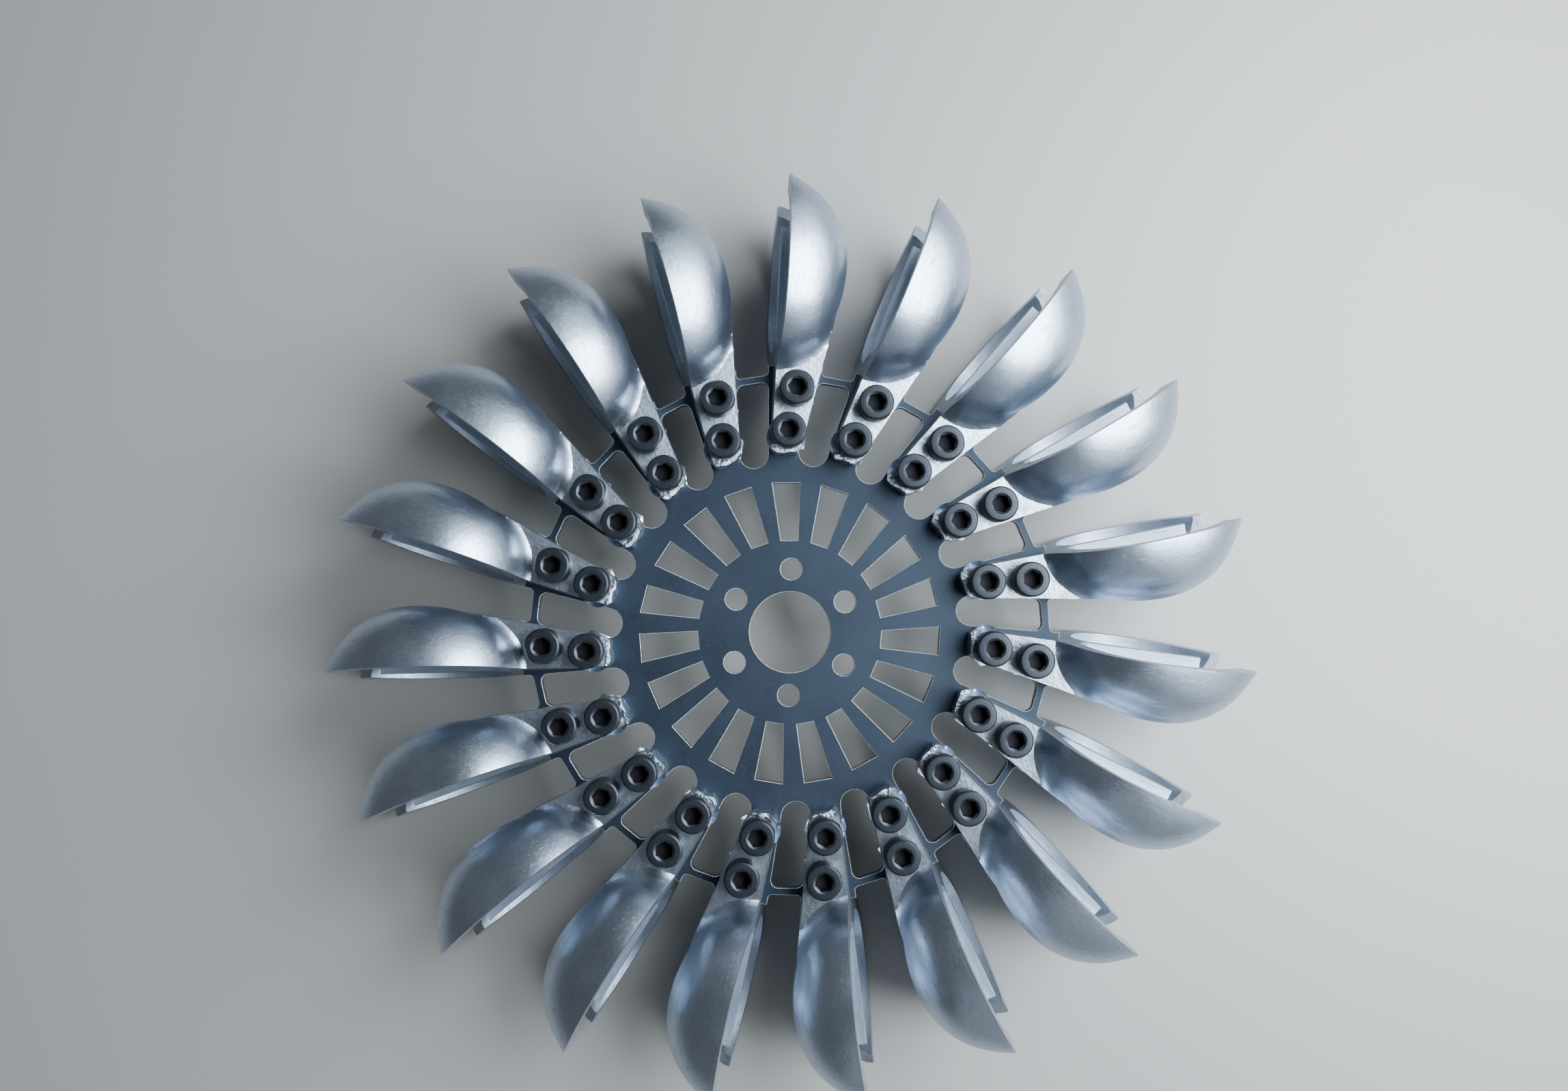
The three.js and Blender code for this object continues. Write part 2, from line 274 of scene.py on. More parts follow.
def contour(field, axes):
    """Quads where a field is zero, with its sharp edges kept, on a grid of three axes."""
    grid = np.stack(np.meshgrid(*axes, indexing="ij"), -1)
    value = field(grid.reshape(-1, 3)).reshape(grid.shape[:3])
    cells = tuple(size - 1 for size in value.shape)
    points, quads = [], []
    for axis in range(3):
        low = [slice(None)] * 3
        high = [slice(None)] * 3
        low[axis] = slice(None, -1)
        high[axis] = slice(1, None)
        index = np.argwhere((value[tuple(low)] < 0) != (value[tuple(high)] < 0))
        first, second = [other for other in range(3) if other != axis]
        for other in (first, second):
            index = index[(index[:, other] > 0) & (index[:, other] < cells[other])]
        start = tuple(index.T)
        ahead = index.copy()
        ahead[:, axis] += 1
        points.append(crossing(field, grid[start], grid[tuple(ahead.T)], value[start] < 0))
        around = []
        for back_first, back_second in ((0, 0), (1, 0), (1, 1), (0, 1)):
            cell = index.copy()
            cell[:, first] -= back_first
            cell[:, second] -= back_second
            around.append(np.ravel_multi_index(tuple(cell.T), cells))
        quad = np.stack(around, 1)
        turned = (value[start] < 0) != (axis == 1)
        quads.append(np.where(turned[:, None], quad, quad[:, ::-1]))
    points = np.concatenate(points)
    quads = np.concatenate(quads)
    used, faces = np.unique(quads, return_inverse=True)
    faces = faces.reshape(-1, 4)
    return corner_points(field, points, faces, used, cells, axes), faces


def crossing(field, start, end, start_inside, halvings=9):
    """Where the field changes sign between two rows of points."""
    low = np.where(start_inside[:, None], start, end)
    high = np.where(start_inside[:, None], end, start)
    for _ in range(halvings):
        middle = (low + high) / 2
        inside = (field(middle) < 0)[:, None]
        low = np.where(inside, middle, low)
        high = np.where(inside, high, middle)
    return (low + high) / 2


def gradient(field, points, step=0.02):
    """Which way a field rises, as unit vectors."""
    slopes = []
    for axis in np.eye(3):
        slopes.append(field(points + step * axis) - field(points - step * axis))
    slopes = np.stack(slopes, 1)
    return slopes / np.maximum(np.linalg.norm(slopes, axis=1), LEAST_SLOPE)[:, None]


def corner_points(field, points, faces, used, cells, axes, stiffness=0.008):
    """One point in each cell, where the tangent planes at its crossings meet best."""
    normals = gradient(field, points)
    cell = faces.ravel()
    hit = np.repeat(np.arange(len(points)), 4)
    count = np.bincount(cell)
    middle = np.stack([np.bincount(cell, points[hit, i]) / count for i in range(3)], 1)
    normal = normals[hit]
    offset = ((points[hit] - middle[cell]) * normal).sum(1)
    matrix = np.empty((len(count), 3, 3))
    for i in range(3):
        for j in range(3):
            matrix[:, i, j] = np.bincount(cell, normal[:, i] * normal[:, j])
    matrix += stiffness * np.eye(3)
    right = np.stack([np.bincount(cell, normal[:, i] * offset) for i in range(3)], 1)
    place = middle + np.linalg.solve(matrix, right[:, :, None])[:, :, 0]
    corner = np.unravel_index(used, cells)
    low = np.stack([axes[i][corner[i]] for i in range(3)], 1)
    high = np.stack([axes[i][corner[i] + 1] for i in range(3)], 1)
    return np.clip(place, low, high)


def steps(start, *stretches):
    """A grid axis from a start through stretches of (end, step)."""
    axis = [start]
    for end, step in stretches:
        count = max(round((end - axis[-1]) / step), 1)
        axis.extend(np.linspace(axis[-1], end, count + 1)[1:])
    return np.array(axis)


def distance(gauge, points, step=0.02):
    """About how far points lie from where a gauge is zero."""
    value = gauge(points)
    slopes = [(gauge(points + step * axis) - value) / step for axis in np.eye(3)]
    return value / np.maximum(np.linalg.norm(slopes, axis=0), LEAST_SLOPE)


def joined(one, other, fillet):
    """Two distance fields as one body, with a fillet where they meet."""
    share = np.clip(0.5 + 0.5 * (other - one) / fillet, 0, 1)
    return other + (one - other) * share - fillet * share * (1 - share)


def outline_distance(points, outline):
    """How far points in a plane lie outside a closed outline, below zero inside it."""
    nearest = np.full(len(points), np.inf)
    inside = np.zeros(len(points), bool)
    outline = np.asarray(outline, float)
    for start, end in zip(outline, np.roll(outline, -1, axis=0)):
        edge = end - start
        from_start = points - start
        along = np.clip(from_start @ edge / (edge @ edge), 0, 1)
        nearest = np.minimum(nearest, ((from_start - along[:, None] * edge) ** 2).sum(1))
        if edge[1] != 0:
            level = (start[1] > points[:, 1]) != (end[1] > points[:, 1])
            inside ^= level & (from_start[:, 0] < edge[0] * from_start[:, 1] / edge[1])
    return np.where(inside, -1, 1) * np.sqrt(nearest)


def smooth_line(points, per_stretch=6):
    """A curve through given points."""
    points = np.asarray(points, float)
    ends = np.vstack([2 * points[0] - points[1], points, 2 * points[-1] - points[-2]])
    line = []
    for i in range(len(points) - 1):
        before, start, end, after = ends[i:i + 4]
        for t in np.arange(per_stretch) / per_stretch:
            line.append(0.5 * (2 * start + (end - before) * t
                               + (2 * before - 5 * start + 4 * end - after) * t ** 2
                               + (3 * start - before - 3 * end + after) * t ** 3))
    line.append(points[-1])
    return np.array(line)


# The bucket, as distance fields in its rim's frame: along the rim, across it, and back

def rim_matrix():
    """From rim lengths to the bucket's sector."""
    along = np.array([math.cos(RIM_LEAN), -math.sin(RIM_LEAN), 0])
    level = np.array([-math.sin(RIM_LEAN), -math.cos(RIM_LEAN), 0])
    up = np.array([0, 0, 1])
    across = up * math.cos(RIM_TILT) + level * math.sin(RIM_TILT)
    back = level * math.cos(RIM_TILT) - up * math.sin(RIM_TILT)
    return np.stack([along, across, back], 1)


RIM_AXES = rim_matrix()
RIM_ORIGIN = np.array([RIM_START, RIM_OFFSET, 0])
RIM_REACH = math.sqrt(1 - (FLANK_SPLAY / (1 + FLANK_SPLAY)) ** 2)
NOTCH_OUTLINE = np.vstack([smooth_line(NOTCH), [[NOTCH[-1][0], -1], [NOTCH[0][0], -1]]])


def in_sector(points):
    """From the rim's frame to the sector: along the finger, beside it, and up."""
    return points @ RIM_AXES.T + RIM_ORIGIN


def swell(place, base, middle, tip, fullness):
    """How far a section reaches at a place along the shell: 1 at the middle, 0 at the ends."""
    inner = np.clip((middle - place) / (middle - base), 0, 1)
    outer = np.clip((place - middle) / (tip - middle), 0, 1)
    towards_base = (1 - inner ** fullness.base) ** (1 / fullness.base)
    towards_tip = (1 - outer ** fullness.tip) ** fullness.drop
    return np.where(place < middle, towards_base, towards_tip)


def shell_size(place):
    """Half the shell's width, and its depth, at a place along the rim."""
    half = BUCKET_WIDTH / 2 * swell(place, SHELL_BASE, SHELL_WIDEST, OUTLINE_TIP, OUTLINE_FULLNESS)
    depth = SHELL_DEPTH * swell(place, SHELL_BASE, SHELL_DEEPEST, SHELL_TIP, SHELL_FULLNESS)
    return np.maximum(half, LEAST_REACH), np.maximum(depth, LEAST_REACH)


def valley_share(from_middle):
    """How deep the back is between the crowns, up to 1 at a crown."""
    rounded = np.sqrt(from_middle ** 2 + VALLEY_SOFTNESS ** 2) - VALLEY_SOFTNESS
    rounded = np.clip(rounded / (math.sqrt(1 + VALLEY_SOFTNESS ** 2) - VALLEY_SOFTNESS), 0, 1)
    return BACK_VALLEY + (1 - BACK_VALLEY) * np.sin(rounded * math.pi / 2)


def shell_gauge(points):
    """Below zero inside the shell's back, whose flanks meet the rim at a slant."""
    place, across, back = points.T
    across = np.where(across < 0, -across * FAR_SIDE_TRIM, across)
    half, depth = shell_size(place)
    crown = half * CROWN_SHARE
    flank = np.maximum(across - crown, 0) / (half - crown)
    down = np.maximum(back, 0) / (depth * valley_share(across / crown))
    return np.sqrt((flank * RIM_REACH) ** 2 + ((down + FLANK_SPLAY) / (1 + FLANK_SPLAY)) ** 2) - 1


def shell_field(points):
    """The shell without its hollows, not yet cut off at the rim."""
    place = points[:, 0]
    ends = np.maximum(SHELL_BASE - place, place - SHELL_TIP)
    return np.maximum(distance(shell_gauge, points), ends)


def shell_surface():
    """The bare shell as a fine mesh, to measure true distances from."""
    turns = np.linspace(math.acos(RIM_REACH), math.pi / 2, SURFACE_FLANK)
    across = np.concatenate([[1], CROWN_SHARE + (1 - CROWN_SHARE) * np.cos(turns) / RIM_REACH])
    down = np.concatenate([[0], (1 + FLANK_SPLAY) * np.sin(turns) - FLANK_SPLAY])
    shares = np.linspace(1, 0, SURFACE_CROWN)[1:]
    across = np.concatenate([across, CROWN_SHARE * shares])
    down = np.concatenate([down, valley_share(shares)])
    across = np.concatenate([across, -across[-2::-1]])
    down = np.concatenate([down, down[-2::-1]])
    points = []
    for turn in np.linspace(0, math.pi, SURFACE_RINGS):
        place = SHELL_BASE + (SHELL_TIP - SHELL_BASE) * (1 - math.cos(turn)) / 2
        half, depth = shell_size(place)
        ring = np.stack([np.full(len(down), place), across * half, down * depth], 1)
        ring[[0, -1], 2] = -SURFACE_SKIRT
        points += ring.tolist()
    count = len(down)
    faces = []
    for start in range(0, len(points) - count, count):
        for i in range(start, start + count - 1):
            faces.append((i, i + 1, i + 1 + count, i + count))
    return BVHTree.FromPolygons(points, faces)


SHELL_SURFACE = shell_surface()


def measured(points, field):
    """A field with true distances to the bare shell in it, except close to the surface."""
    away = np.array([SHELL_SURFACE.find_nearest(point)[3] for point in points.tolist()])
    share = np.clip(away / TRUE_BEYOND - 0.5, 0, 1)
    return field + (np.copysign(away, field) - field) * share


def hollow_gauge(points):
    """Below zero inside the hollow on the side where across is positive."""
    place, across, back = points.T
    width = BUCKET_WIDTH / 2 - WALL
    outer = width * swell(place, HOLLOW_BASE, SHELL_WIDEST, HOLLOW_OUTLINE_TIP, OUTLINE_FULLNESS)
    depth = (SHELL_DEPTH - WALL) * swell(place, HOLLOW_BASE, SHELL_DEEPEST, HOLLOW_TIP, HOLLOW_FULLNESS)
    root = np.clip(1 - (place - HOLLOW_BASE) / SPLITTER_ROOT_LENGTH, 0, 1)
    inner = SPLITTER_HALF + SPLITTER_ROOT * root ** 2
    half = np.maximum((outer - inner) / 2, LEAST_REACH)
    aside = np.abs(across - (outer + inner) / 2) / half
    down = np.maximum(back, 0) / np.maximum(depth, LEAST_REACH)
    return (aside ** HOLLOW_POWERS[0] + down ** HOLLOW_POWERS[1]) ** (1 / HOLLOW_POWERS[0]) - 1


def hollow_field(points):
    """One hollow, with its ends."""
    place = points[:, 0]
    ends = np.maximum(HOLLOW_BASE - place, place - HOLLOW_TIP)
    return np.maximum(distance(hollow_gauge, points), ends)


def hollows_field(points):
    """The pair of hollows; each side of the middle sees only its own."""
    return hollow_field(points * np.array([1, 0, 1]) + np.abs(points) * np.array([0, 1, 0]))


def notch_field(points):
    """The notch, which is as wide on both sides of the middle and cuts right through."""
    folded = np.stack([points[:, 0], np.abs(points[:, 1])], 1)
    return outline_distance(folded, NOTCH_OUTLINE)


def lobe_field(sector):
    """The low dished lip of the casting beside the inner screw."""
    level = np.hypot(sector[:, 0] - LOBE_CENTRE[0], sector[:, 1] - LOBE_CENTRE[1]) - LOBE_RADIUS
    dished = sector[:, 2] - LOBE_HIGH - LOBE_DISH * np.minimum(level, 0)
    return np.maximum(np.maximum(level, dished), STEM_LOW - sector[:, 2])


def stem_field(points, sector, shell):
    """The stem: a ground top that ends in a crease, where the casting sweeps up into the shell."""
    level = outline_distance(sector[:, :2], STEM)
    front = np.where(sector[:, 0] > STEM_FRONT_TRIM, -points[:, 2], -WALL)
    walls = np.maximum(np.maximum(level, front), STEM_LOW - sector[:, 2])
    fade = np.clip((SWEEP_FADE[1] - sector[:, 0]) / (SWEEP_FADE[1] - SWEEP_FADE[0]), 0, 1)
    sweep = joined(shell, sector[:, 2] - STEM_HIGH + STEM_SINK, STEM_FILLET * fade + LEAST_FILLET)
    top = np.minimum(sweep, sector[:, 2] - STEM_HIGH)
    return joined(np.maximum(walls, top), lobe_field(sector), LOBE_FILLET)


def bucket_field(points):
    """The whole casting: shell and stem, less the hollows, the notch and the recess for the disc."""
    sector = in_sector(points)
    shell = shell_field(points)
    level = outline_distance(sector[:, :2], STEM)
    near = (level < STEM_FILLET) & (sector[:, 2] < STEM_HIGH + STEM_FILLET + STEM_NEAR)
    shell[near] = measured(points[near], shell[near])
    body = np.minimum(shell, stem_field(points, sector, shell))
    body = np.maximum(body, np.where(sector[:, 0] > RIM_TRIM, -points[:, 2], -WALL))
    ridge = SPLITTER_ROUNDING * np.exp(-(points[:, 1] / SPLITTER_REACH) ** 2) + HOLLOW_ROUNDING
    body = -joined(-body, hollows_field(points), ridge)
    body = np.maximum(body, -notch_field(points))
    recess = np.maximum(np.abs(sector[:, 2]) - STEM_LOW, sector[:, 0] - RECESS_RADIUS)
    return np.maximum(body, -recess)


def bucket_mesh():
    """The casting's points in its sector, its quads, and the material of each."""
    axes = [steps(*grid) for grid in (GRID_ALONG, GRID_ACROSS, GRID_BACK)]
    points, faces = contour(bucket_field, axes)
    middle = points[faces].mean(1)
    sector = in_sector(middle)
    rim = np.abs(middle[:, 2]) < ON_FLAT
    top = (np.abs(sector[:, 2] - STEM_HIGH) < ON_FLAT) & (sector[:, 0] < STEM_GROUND_END)
    notch = np.abs(notch_field(middle)) < ON_NOTCH
    hollow = np.abs(hollows_field(middle)) < ON_HOLLOW
    look = np.select([rim | notch, top, hollow], [GROUND_RIM, GROUND_STEM, HOLLOW_SKIN], CAST_SKIN)
    return in_sector(points), faces, look


# Objects and meshes in Blender

def new_object(name, data):
    """An object in the scene."""
    thing = bpy.data.objects.new(name, data)
    bpy.context.scene.collection.objects.link(thing)
    return thing


def piece(name, mesh, slot, *replaced):
    """One piece of the wheel on its single body."""
    thing = new_object(name, mesh)
    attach(thing, "root")
    if replaced:
        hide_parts(*replaced)
    return thing


def new_mesh(name, points, faces):
    """A mesh in metres from points in millimetres."""
    mesh = bpy.data.meshes.new(name)
    mesh.from_pydata((points * MM).tolist(), [], faces)
    return mesh


def shown_mesh(thing):
    """The mesh that an object shows, which takes the object's place."""
    shown = thing.evaluated_get(bpy.context.evaluated_depsgraph_get())
    mesh = bpy.data.meshes.new_from_object(shown)
    bpy.data.objects.remove(thing)
    return mesh


def mesh_points(mesh):
    """The points of a mesh in millimetres."""
    flat = np.empty(len(mesh.vertices) * 3)
    mesh.vertices.foreach_get("co", flat)
    return flat.reshape(-1, 3) / MM


def give(mesh, materials):
    for material in materials:
        mesh.materials.append(material)


def shade(mesh, sharp_angle):
    mesh.shade_smooth()
    mesh.set_sharp_from_angle(angle=sharp_angle)


def bucket_angle(number):
    """Where a bucket's sector points; the numbers run clockwise seen from above."""
    return FIRST_BUCKET_ANGLE - (number - 1) * SECTOR


def turn_matrix(angle):
    return np.array(Matrix.Rotation(angle, 3, "Z"))


# Buckets

def finished_casting(materials):
    """The bucket's mesh with its edges broken, still in its sector."""
    points, faces, look = bucket_mesh()
    mesh = new_mesh("casting", points, faces.tolist())
    give(mesh, materials)
    mesh.polygons.foreach_set("material_index", look.astype(np.int32))
    shade(mesh, CASTING_SHARP)
    blank = new_object("casting", mesh)
    bevel = blank.modifiers.new("broken edges", "BEVEL")
    bevel.width = BROKEN_EDGE * MM
    bevel.segments = 1
    bevel.limit_method = "ANGLE"
    bevel.angle_limit = BROKEN_BEYOND
    bevel.harden_normals = True
    bevel.material = BROKEN
    return shown_mesh(blank)


def roughened(points, chance):
    """The casting's points in its sector with the hub end left rough, each bucket in its own way."""
    share = np.clip((ROUGH_END - points[:, 0]) / ROUGH_LENGTH, 0, 1)
    moved = points.copy()
    for axis, reach in enumerate(ROUGH_REACH):
        for _ in range(ROUGH_WAVES):
            heading = np.array([chance.gauss(0, 1) for _ in range(3)])
            heading *= chance.uniform(*ROUGH_RATES) / np.linalg.norm(heading)
            wave = np.sin(points @ heading + chance.uniform(*ROUGH_PHASES))
            moved[:, axis] += share * reach / (ROUGH_WAVES / 2) * wave
    high = np.clip((points[:, 2] - ROUGH_FALL_HEIGHT) / ROUGH_FALL_BAND, 0, 1)
    moved[:, 2] -= ROUGH_FALL * high * share ** 2 * chance.uniform(*ROUGH_FALL_RANGE)
    return moved


def add_buckets(materials):
    """The nineteen castings, alike but for their rough hub ends."""
    casting = finished_casting(materials)
    points = mesh_points(casting)
    local = (points - RIM_ORIGIN) @ RIM_AXES
    attribute = casting.attributes.new(CASTING_PLACE, "FLOAT_VECTOR", "POINT")
    attribute.data.foreach_set("vector", (local * MM).ravel())
    chance = random.Random(ROUGH_SEED)
    for number in BUCKET_NUMBERS:
        mesh = casting.copy()
        turned = roughened(points, chance) @ turn_matrix(bucket_angle(number)).T
        turned[:, 2] = np.clip(turned[:, 2], cad_box[0].z / MM, cad_box[1].z / MM)
        mesh.vertices.foreach_set("co", (turned * MM).ravel())
        mesh.update()
        name = f"bucket_{number:02d}"
        piece("casting_" + name, mesh, "cast_aluminium", name)


# Runner disc, drawn with points as complex numbers

def arc(centre, radius, start, end, count):
    """Points along an arc, both ends among them."""
    return [centre + cmath.rect(radius, start + (end - start) * i / count) for i in range(count + 1)]


def whole_circle(centre, radius, count):
    return arc(centre, radius, 0, 2 * math.pi, count)[1:]


def reached(radius, point, direction):
    """Where a line from a point meets a circle about the axis."""
    along = (direction.conjugate() * point).real
    return point + direction * (-along + math.sqrt(along ** 2 - abs(point) ** 2 + radius ** 2))


def corner(edge, circle_radius, fillet, outside):
    """The rounded corner between an edge and a circle about the axis: outside it is 1, inside it is -1."""
    start = edge.point + edge.inward * fillet
    centre = reached(circle_radius + outside * fillet, start, edge.direction)
    on_edge = -edge.inward
    on_circle = -outside * centre / abs(centre)
    first = cmath.phase(on_edge)
    return arc(centre, fillet, first, first + cmath.phase(on_circle / on_edge), FILLET_POINTS)


SLOT_LEAN = cmath.rect(1, SLOT_TAPER)
LOWER_EDGE = Edge(complex(SLOT_START, FINGER_FRONT), 1 + 0j, 1j)
UPPER_EDGE = Edge(complex(SLOT_START, FINGER_FRONT + 2 * SLOT_RADIUS), SLOT_LEAN, -1j * SLOT_LEAN)


def slot_outline():
    """The slot between two fingers, from its round end to the web."""
    centre = complex(SLOT_START, FINGER_FRONT + SLOT_RADIUS)
    return (arc(centre, SLOT_RADIUS, math.pi / 2, 3 * math.pi / 2, SLOT_END_POINTS)
            + corner(LOWER_EDGE, WEB_INNER_RADIUS, SLOT_FILLET, -1)
            + corner(UPPER_EDGE, WEB_INNER_RADIUS, SLOT_FILLET, -1)[::-1])


def gap_outline():
    """The disc's edge outside the web, from one finger's end to the next one's."""
    return ([reached(DISC_RADIUS, LOWER_EDGE.point, LOWER_EDGE.direction)]
            + corner(LOWER_EDGE, WEB_OUTER_RADIUS, WEB_FILLET, 1)
            + corner(UPPER_EDGE, WEB_OUTER_RADIUS, WEB_FILLET, 1)[::-1]
            + [reached(DISC_RADIUS, UPPER_EDGE.point, UPPER_EDGE.direction)])


def window_outline():
    """A window that widens outwards and leans a little to one side."""
    return [complex(WINDOW_INNER_RADIUS, -WINDOW_INNER_WIDTH / 2),
            complex(WINDOW_OUTER_RADIUS, WINDOW_OUTER_SHIFT - WINDOW_OUTER_WIDTH / 2),
            complex(WINDOW_OUTER_RADIUS, WINDOW_OUTER_SHIFT + WINDOW_OUTER_WIDTH / 2),
            complex(WINDOW_INNER_RADIUS, WINDOW_INNER_WIDTH / 2)]


def turned_outline(outline, number):
    """An outline of the first sector in the sector of a bucket."""
    turn = cmath.rect(1, bucket_angle(number))
    return [point * turn for point in outline]


def disc_outlines():
    """The disc's outer edge, its bore and hub holes, and its windows and slots."""
    outer = []
    for number in reversed(BUCKET_NUMBERS):
        outer += turned_outline(gap_outline(), number)
    outlines = [outer, whole_circle(0, BORE_RADIUS, BORE_POINTS)]
    for hole in range(HUB_HOLE_COUNT):
        angle = FIRST_BUCKET_ANGLE + HUB_HOLE_TURN + hole * 2 * math.pi / HUB_HOLE_COUNT
        outlines.append(whole_circle(cmath.rect(HUB_HOLE_CIRCLE, angle), HUB_HOLE_RADIUS, HUB_HOLE_POINTS))
    for number in BUCKET_NUMBERS:
        outlines.append(turned_outline(window_outline(), number))
        outlines.append(turned_outline(slot_outline(), number))
    return outlines


def disc_curve():
    """The disc as a filled curve with bevelled edges."""
    curve = bpy.data.curves.new("runner", "CURVE")
    curve.dimensions = "2D"
    curve.fill_mode = "BOTH"
    curve.extrude = (DISC_THICKNESS / 2 - DISC_EDGE) * MM
    curve.bevel_depth = DISC_EDGE * MM
    curve.bevel_resolution = 0
    curve.offset = -DISC_EDGE * MM
    for outline in disc_outlines():
        spline = curve.splines.new("POLY")
        spline.points.add(len(outline) - 1)
        for place, point in zip(spline.points, outline):
            place.co = (point.real * MM, point.imag * MM, 0, 1)
        spline.use_cyclic_u = True
    return curve


def merge_doubles(mesh):
    """Joins the flats, walls and bevels into one closed body."""
    body = bmesh.new()
    body.from_mesh(mesh)
    bmesh.ops.remove_doubles(body, verts=body.verts, dist=SAME_POINT * MM)
    bmesh.ops.recalc_face_normals(body, faces=body.faces)
    body.to_mesh(mesh)
    body.free()


def disc_look(steepness):
    """Which of the disc's materials a face takes."""
    if steepness < FLAT_BELOW:
        return FLAT
    return CUT_FACE if steepness > UPRIGHT_BEYOND else CUT_EDGE


def add_disc(materials):
    """The runner disc, with its flats, bevels and cut walls each in a material of their own."""
    mesh = shown_mesh(new_object("runner", disc_curve()))
    merge_doubles(mesh)
    give(mesh, materials)
    for polygon in mesh.polygons:
        polygon.material_index = disc_look(1 - abs(polygon.normal.z))
    shade(mesh, DISC_SHARP)
    piece("disc_plate", mesh, "blued_steel", "runner_disc")


# Screws and nuts, turned as rings of equally many points about an upright axis

def ring_angles():
    return np.arange(RING_COUNT) * 2 * math.pi / RING_COUNT


def round_ring(radius, height):
    angles = ring_angles()
    return np.stack([radius * np.cos(angles), radius * np.sin(angles), np.full(RING_COUNT, float(height))], 1)


def hex_reach(across):
    """How far a hexagon's edge lies from its middle at each angle of a ring."""
    return across / 2 / np.cos(ring_angles() % (math.pi / 3) - math.pi / 6)


def hex_ring(across, height):
    """A hexagonal ring; its height may differ from point to point."""
    ring = round_ring(1, 0)
    reach = hex_reach(across)
    return np.stack([ring[:, 0] * reach, ring[:, 1] * reach, np.broadcast_to(height, RING_COUNT)], 1)


def turned_mesh(name, rings, dark_bands=0):
    """A closed body through rings, shut at both ends by a fan.

    The last bands and the last fan may take the second material.
    """
    points = np.concatenate(rings + [rings[0].mean(0)[None], rings[-1].mean(0)[None]])
    first = len(rings) * RING_COUNT
    last = (len(rings) - 1) * RING_COUNT
    faces = []
    for start in range(0, last, RING_COUNT):
        for i in range(RING_COUNT):
            after = (i + 1) % RING_COUNT
            end = start + RING_COUNT
            faces.append((start + i, start + after, end + after, end + i))
    for i in range(RING_COUNT):
        after = (i + 1) % RING_COUNT
        faces.append((first, after, i))
        faces.append((first + 1, last + i, last + after))
    mesh = new_mesh(name, points, faces)
    dark = last - dark_bands * RING_COUNT
    for face, polygon in zip(faces, mesh.polygons):
        polygon.material_index = int(dark_bands > 0 and min(face) >= dark and first not in face)
    shade(mesh, FASTENER_SHARP)
    return mesh


def screw_mesh():
    """A socket head screw, its seat at height 0, from its end up round the head into the socket.

    The small steps round off the head's edge and dip the socket's floor.
    """
    shank = SCREW_SIZE / 2 - THREAD_INSET
    shoulder = HEAD_HEIGHT - HEAD_CHAMFER
    face_radius = HEAD_RADIUS - HEAD_CHAMFER
    floor = HEAD_HEIGHT - SOCKET_DEPTH
    rings = [
        round_ring(SCREW_SIZE / 2 - 1, -SCREW_LENGTH),
        round_ring(shank, 1 - SCREW_LENGTH),
        round_ring(shank, 0),
        round_ring(HEAD_RADIUS - HEAD_SEAT_CHAMFER, 0),
        round_ring(HEAD_RADIUS, HEAD_SEAT_CHAMFER),
        round_ring(HEAD_RADIUS, shoulder),
        round_ring(HEAD_RADIUS - 0.12, shoulder + 0.3),
        round_ring(face_radius + 0.1, HEAD_HEIGHT - 0.04),
        round_ring(face_radius - 0.2, HEAD_HEIGHT),
        round_ring(SOCKET_MOUTH, HEAD_HEIGHT),
        hex_ring(SOCKET_ACROSS, HEAD_HEIGHT - SOCKET_SLOPE * (SOCKET_MOUTH - hex_reach(SOCKET_ACROSS))),
        hex_ring(SOCKET_ACROSS, floor),
        round_ring(SOCKET_ACROSS / 2 * 0.9, floor - 0.02),
        round_ring(SOCKET_ACROSS / 2 * 0.45, floor - 0.25),
    ]
    return turned_mesh("screw", rings, dark_bands=2)


def nut_mesh():
    """A lock nut hanging from height 0: hexagon, then its rolled collar and the mouth under it.

    The small steps round the collar over.
    """
    thread = SCREW_SIZE / 2 - THREAD_INSET
    chamfer = (hex_reach(NUT_ACROSS) - NUT_FLAT_RADIUS) * math.tan(NUT_CHAMFER)
    end = -NUT_HEIGHT - COLLAR_HEIGHT
    rings = [
        round_ring(thread, 0),
        round_ring(NUT_FLAT_RADIUS, 0),
        hex_ring(NUT_ACROSS, -chamfer),
        hex_ring(NUT_ACROSS, -NUT_HEIGHT + chamfer),
        round_ring(NUT_FLAT_RADIUS, -NUT_HEIGHT),
        round_ring(COLLAR_RADIUS, -NUT_HEIGHT - 0.05),
        round_ring(COLLAR_RADIUS, end + 0.9),
        round_ring(COLLAR_RADIUS - 0.25, end + 0.4),
        round_ring(COLLAR_RADIUS - 0.8, end + 0.05),
        round_ring(COLLAR_RADIUS - 1.1, end),
        round_ring(SCREW_SIZE / 2 + 0.15, end + 0.15),
        round_ring(thread, end + 1.2),
    ]
    return turned_mesh("nut", rings[::-1])


def add_fasteners(head, socket, plating):
    """Two screws and two nuts for each bucket, each turned to an angle of its own."""
    screw, nut = screw_mesh(), nut_mesh()
    give(screw, [head, socket])
    give(nut, [plating])
    kinds = (("screw", screw, "black_oxide_steel", STEM_HIGH),
             ("nut", nut, "zinc_plated_steel", -DISC_THICKNESS / 2))
    chance = random.Random(SCREW_SEED)
    for number in BUCKET_NUMBERS:
        turn = Matrix.Rotation(bucket_angle(number), 4, "Z")
        for end, (along, beside) in zip(("inner", "outer"), SCREW_PLACES):
            for kind, mesh, slot, height in kinds:
                fastener = piece(f"{kind}_{number:02d}_{end}", mesh, slot)
                place = Matrix.Translation(Vector((along, beside, height)) * MM)
                fastener.matrix_world = turn @ place @ Matrix.Rotation(chance.uniform(0, math.pi), 4, "Z")


# Materials

